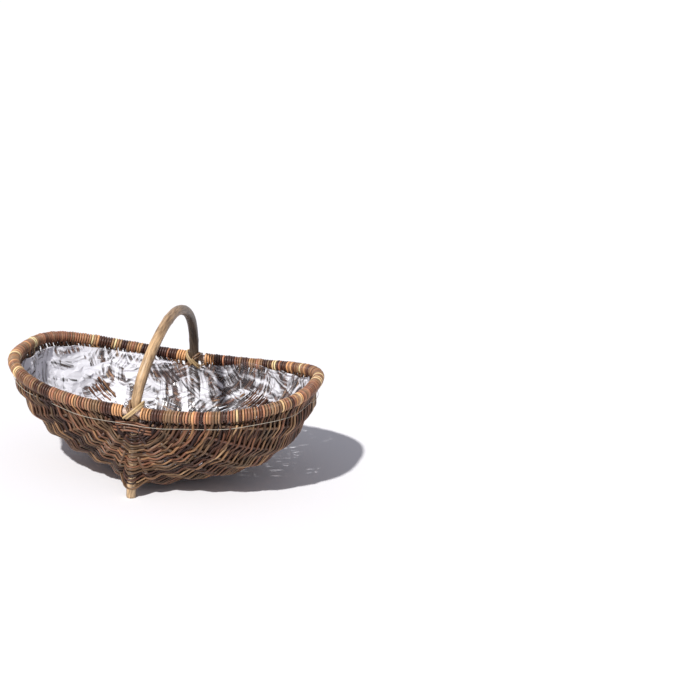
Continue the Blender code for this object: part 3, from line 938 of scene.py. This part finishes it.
def make_handle(look):
    line = handle_line()
    run = arc_length(line)
    radii = HANDLE_ROD_RADIUS * np.interp(run / run[-1], *HANDLE_THICKNESS)
    for place, size in HANDLE_KNOTS:
        radii *= 1 + size * np.exp(-(((run - place) / KNOT_LENGTH) ** 2))
    radii *= 1 + 0.02 * np.sin(run * 23) * np.sin(run * 9 + 1)
    radii[[0, -1]] *= FOOT_EDGE
    line[:, 0] += 0.0006 * np.sin(run * 31) * np.clip(run / 0.05, 0, 1)
    bundle = Bundle()
    bundle.add(line, radii, 0.5, sides=24)
    bundle.make("handle_rod", look, "handle_wood", ["handle"])


def make_rim_rod(look):
    whole = np.concatenate([RIM_POINTS[::12], (RIM_POINTS * MIRROR)[::-12]])
    bundle = Bundle()
    bundle.add(resample(whole, count=360)[0], RIM_ROD_RADIUS * 0.97, 0.5, sides=12)
    bundle.make("rim_rod", look, "rim_wood", ["rim_hoop"])


def lash_point(turns_done, tilt, layer):
    """A point of a lashing, as the solids have it: (along the rim, outward, up) from the rim."""
    strand = 2 * LASH_RADIUS + LASH_GAP
    shift = (turns_done - LASH_TURNS / 2) * strand
    lift = LASH_CLEARANCE + LASH_RADIUS + layer * strand
    angle = 2 * math.pi * turns_done
    aslant, out = math.sin(angle), -math.cos(angle)
    rim = (RIM_ROD_RADIUS + lift, 0.0, -shift / math.tan(tilt))
    leg = (HANDLE_ROD_RADIUS + lift, LEG_AT_RIM - RIM_HALF_WIDTH, shift * math.tan(tilt))
    touched = []
    for radius, place, slide in (rim, leg):
        long, short = radius * math.sqrt(2), radius
        size = math.hypot(long * aslant, short * out)
        support = size + slide * aslant + place * out
        spot = (slide + long**2 * aslant / size, place + short**2 * out / size)
        touched.append((support, spot))
    reach, across = max(touched)[1]
    x = reach * math.cos(tilt) - shift * math.sin(tilt)
    z = reach * math.sin(tilt) + shift * math.cos(tilt)
    return (x, across, z)


def make_lashings(looks):
    """A dark skein round each crossing of leg and rim, and a pale one over it the other way."""
    for layer, (kind, tilt) in enumerate((("dark", -LASH_TILT), ("pale", LASH_TILT))):
        turns = [LASH_TURNS * n / LASH_POINTS for n in range(LASH_POINTS + 1)]
        line = np.array([lash_point(done, tilt, layer) for done in turns])
        line = resample(line, step=0.0016)[0]
        for name, side in (("front", -1), ("rear", 1)):
            points = line * [-side, side, 1] + [0, side * RIM_HALF_WIDTH, RIM_HEIGHT]
            up = (line - [0, LEG_AT_RIM - RIM_HALF_WIDTH, 0]) * [-side, side, 1]
            bundle = Bundle()
            seed = 0.3 + 0.3 * layer
            radius = LASH_RADIUS * SKEIN_WIDTH
            bundle.add(points, radius, seed, sides=10, up=up, flat=SKEIN_FLATNESS)
            piece = f"lashing_strand_{name}_{kind}"
            bundle.make(piece, looks[kind], "skein_" + kind, [f"lashing_{name}_{kind}"])


def make_thread(look):
    """The thread that holds the film, round the outside of the weave just below the rim."""
    halves = []
    for end in (-1, 1):
        wide = np.linspace(-1, 1, 400)
        full = np.where(wide < 0, LEFT_FULLNESS, RIGHT_FULLNESS)
        depth = THREAD_DEPTH - THREAD_RISE * np.sin(math.pi * np.abs(wide)) ** 2
        most = RIM_HALF_LENGTH * (1 - depth**full) ** (1 / full)
        sweep, turn = sweep_turn(most * np.sin(wide * math.pi / 2), depth)
        dip = THREAD_DIP * np.clip(np.sin(wide * 9 + end) - 0.2, 0, 1)
        points = middle_point(sweep, turn) + outward(sweep, turn) * (THREAD_OFFSET - dip)[:, None]
        halves.append(on_half(points, end)[::-end])
    whole = resample(np.concatenate(halves), step=THREAD_STEP)[0]
    run = np.arange(len(whole)) * THREAD_STEP
    whole[:, 2] += 0.0012 * np.sin(run * 21) + 0.0006 * np.sin(run * 53 + 2)
    bundle = Bundle()
    bundle.add(whole, THREAD_RADIUS, 0.5, sides=6)
    bundle.make("stitching_thread", look, "thread", ["liner_thread"])


# Liner


def bump_at(phi, place, width):
    """A smooth bump round an angle, 1 high."""
    return np.exp(-((np.angle(np.exp(1j * (phi - place))) / width) ** 2))


def liner_folds(rng, points, phi, top):
    """How far the film's creases stand inwards at each point."""
    folds = np.zeros(phi.shape)
    for _ in range(LINER_FOLDS):
        direction = unit(rng.normal(size=3) * [1, 1, 0.7])
        length = rng.uniform(*FOLD_LENGTH)
        phase = rng.uniform(0, 1)
        wave = np.abs(((points @ direction) / length + phase) % 1.0 - 0.5) * 4 - 1
        folds += wave * length * rng.uniform(*FOLD_SLOPE)
    folds += rng.normal(0, 0.0010, phi.shape)
    leaning = 0.006 * top * (bump_at(phi, 1.05, 0.4) + bump_at(phi, 0.3, 0.2))
    return np.clip(folds + 0.001, FOLD_LOWEST, FOLD_HIGHEST) + leaning


def liner_sheet(rng):
    """The film's points, in rings from the bottom's middle to its edge, and their places on the
    flat sheet."""
    phi = np.linspace(0, 2 * math.pi, LINER_AROUND, endpoint=False)[None].repeat(LINER_DOWN, 0)
    rho = (np.arange(LINER_DOWN) / (LINER_DOWN - 1))[:, None].repeat(LINER_AROUND, 1)
    top = np.clip((rho - LINER_EDGE_FROM) / (1 - LINER_EDGE_FROM), 0, 1)
    aside = rng.uniform(-JITTER_AROUND, JITTER_AROUND, phi.shape)
    phi = phi + aside * 2 * math.pi / LINER_AROUND
    rho[1:-1] += rng.uniform(-JITTER_DOWN, JITTER_DOWN, rho[1:-1].shape) / LINER_DOWN
    spread = np.sin(np.clip(rho / 0.93, 0.02, 1) * 0.955 * math.pi / 2)
    c, s = np.cos(phi), np.sin(phi)
    n = RIM_SQUARENESS
    size = (np.abs(c) ** n + np.abs(s) ** n) ** (-1 / n)
    x, y = spread * size * c, spread * size * s
    out = (1 - np.abs(y) ** n) ** (1 / n)
    full = np.where(x < 0, LEFT_FULLNESS, RIGHT_FULLNESS)
    ratio = np.clip(np.abs(x) / np.maximum(out, 1e-6), 0, 1)
    depth = np.clip(out * (1 - ratio**full) ** (1 / full), 0, 1)
    x, y = x * (RIM_HALF_LENGTH - LINER_INSET), y * (RIM_HALF_WIDTH - LINER_INSET)
    z = rim_height(x) * (1 - depth) + (BELLY_HEIGHT + LINER_LIFT) * depth
    edge = LINER_EDGE + 0.004 * np.sin(phi * 7) + 0.003 * np.sin(phi * 17 + 1)
    edge += rng.uniform(-0.002, 0.002, phi.shape)
    for height, place, width in LINER_EDGE_BUMPS:
        edge += height * bump_at(phi, place, width)
    z = z * (1 - top) + np.maximum(rim_height(x) + edge, z) * top
    from_middle = np.hypot(x, y)
    steps = np.hypot(
        np.diff(from_middle, axis=0, prepend=0), np.diff(z, axis=0, prepend=z[:1])
    )
    flat = np.cumsum(steps, axis=0)[..., None] * np.stack([x, y], -1) / from_middle[..., None]
    points = np.stack([x, y, z], -1)
    inward = unit(np.array([0, 0, 0.14]) - points * [0.6, 0.9, 1.0])
    points = points + inward * liner_folds(rng, points, phi, top)[..., None]
    limit = LEG_AT_RIM - HANDLE_ROD_RADIUS - LINER_TO_LEG + 0.35 * np.abs(points[..., 0])
    points[..., 1] = np.clip(points[..., 1], -limit, limit)
    return points, flat


def liner_faces(rng):
    """Triangles: each cell between two rings cut one way or the other, and a fan in the middle."""
    faces = []
    for ring in range(LINER_DOWN - 1):
        for n in range(LINER_AROUND):
            a, b = ring * LINER_AROUND + n, ring * LINER_AROUND + (n + 1) % LINER_AROUND
            c, d = b + LINER_AROUND, a + LINER_AROUND
            faces += [(a, b, c), (a, c, d)] if rng.random() < 0.5 else [(a, b, d), (b, c, d)]
    centre = LINER_AROUND * LINER_DOWN
    return faces + [(centre, (n + 1) % LINER_AROUND, n) for n in range(LINER_AROUND)]


def make_liner(look):
    """A crinkled sheet of film that lines the inside: jittered facets on a smaller body."""
    rng = np.random.default_rng(LINER_SEED)
    points, flat = liner_sheet(rng)
    verts = points.reshape(-1, 3)
    verts = np.concatenate([verts, verts[:LINER_AROUND].mean(0, keepdims=True)])
    flat = np.concatenate([flat.reshape(-1, 2), [[0, 0]]])
    made = make_piece(
        "film_liner", verts, liner_faces(rng), {"flat_x": flat[:, 0], "flat_y": flat[:, 1]},
        look, ["liner"], smooth=False,
    )


# Camera, floor and light


def make_camera():
    data = bpy.data.cameras.new("camera")
    data.sensor_width = SENSOR_WIDTH
    data.lens = FOCAL_PIXELS / IMAGE_PIXELS * SENSOR_WIDTH
    data.clip_end = 50
    pitch, yaw, roll = (math.radians(a) for a in CAMERA_ANGLES)
    ahead = np.array(
        [math.sin(yaw) * math.cos(pitch), math.cos(yaw) * math.cos(pitch), -math.sin(pitch)]
    )
    level = np.array([math.cos(yaw), -math.sin(yaw), 0.0])
    upright = np.cross(level, ahead)
    right = math.cos(roll) * level + math.sin(roll) * upright
    up = math.cos(roll) * upright - math.sin(roll) * level
    matrix = Matrix.Identity(4)
    for column, values in enumerate((right, up, -ahead, CAMERA_PLACE)):
        for row, value in enumerate(values):
            matrix[row][column] = value
    made = bpy.data.objects.new("camera", data)
    made.matrix_world = matrix
    bpy.context.scene.collection.objects.link(made)
    bpy.context.scene.camera = made


def make_floor():
    look, tree, out = new_material("white_floor")
    shader = node(tree, "ShaderNodeBsdfDiffuse", (("Color", (0.90, 0.90, 0.93, 1.0)),))
    tree.links.new(shader.outputs[0], out.inputs["Surface"])
    mesh = bpy.data.meshes.new("floor")
    signs = ((-1, -1), (1, -1), (1, 1), (-1, 1))
    corners = [(x * FLOOR_SIZE, y * FLOOR_SIZE, FLOOR_HEIGHT) for x, y in signs]
    mesh.from_pydata(corners, [], [(0, 1, 2, 3)])
    mesh.materials.append(look)
    floor = bpy.data.objects.new("floor", mesh)
    bpy.context.scene.collection.objects.link(floor)


def make_light():
    """A sun, and a sky that is white where the camera, gloss or clear film shows it."""
    sun = bpy.data.lights.new("key", "SUN")
    sun.energy = SUN_STRENGTH
    sun.angle = math.radians(SUN_WIDTH)
    sun.color = (1.0, 0.98, 0.95)
    made = bpy.data.objects.new("key", sun)
    made.rotation_euler = (0, math.radians(SUN_FROM_ABOVE), math.radians(SUN_AROUND))
    bpy.context.scene.collection.objects.link(made)
    world = bpy.data.worlds.new("world")
    bpy.context.scene.world = world
    world.use_nodes = True
    tree = world.node_tree
    tree.nodes.clear()
    out = tree.nodes.new("ShaderNodeOutputWorld")
    path = node(tree, "ShaderNodeLightPath").outputs
    white = node(tree, "ShaderNodeBackground", (("Color", (1, 1, 1, 1)), ("Strength", 1.0)))
    sky = node(tree, "ShaderNodeBackground", (
        ("Color", (0.90, 0.90, 1.0, 1)), ("Strength", SKY_STRENGTH),
    ))
    shown = maths(tree, "MAXIMUM", path["Is Camera Ray"], path["Is Glossy Ray"])
    shown = maths(tree, "MAXIMUM", shown, path["Is Transmission Ray"])
    tree.links.new(mix_shaders(tree, shown, sky, white).outputs[0], out.inputs["Surface"])


def main():
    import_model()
    bpy.context.scene.view_settings.view_transform = "Standard"
    make_camera()
    make_floor()
    make_light()
    bark = rod_material("willow_bark", BARK, streak=0.8, sheen=0.3, rough=0.38, painted_light=1.0)
    rib_bark = rod_material("rib_bark", BARK[:5])
    peeled = rod_material("peeled_rim", PEELED_WOOD, streak=0.2, bump=0.1)
    handle_wood = rod_material(
        "handle_wood", HANDLE_BARK, streak=0.9, bump=0.4, fine=0.9, length=HANDLE_LENGTH
    )
    pale = rod_material("pale_skein", PALE_SKEIN, streak=0.3)
    dark = rod_material("dark_skein", DARK_SKEIN, streak=0.3)
    # Painted sunlit copy of the weave's bark, for the wraps round the rim
    sunlit_wrap_bark = rod_material("rim_bark", SUNLIT_WRAP_BARK, streak=0.8, sheen=0.35, rough=0.38, painted_light=1.0)
    wraps = [Bundle(), Bundle()]
    for end, name in ((-1, "front"), (1, "rear")):
        for n, band in enumerate(make_weave(end, wraps), start=1):
            band.make(f"weave_rods_{name}_{n}", bark, "weave", [f"weave_{name}_{n}"])
    for bundle, name in zip(wraps, ("left", "right")):
        bundle.make(f"rim_rods_{name}", sunlit_wrap_bark, "rim_wrap", [f"rim_wrap_{name}"])
    make_ribs(rib_bark)
    make_rim_rod(peeled)
    make_handle(handle_wood)
    make_lashings({"pale": pale, "dark": dark})
    make_thread(plain_material("thread", THREAD_COLOUR, 0.4))
    make_liner(film_material())


main()
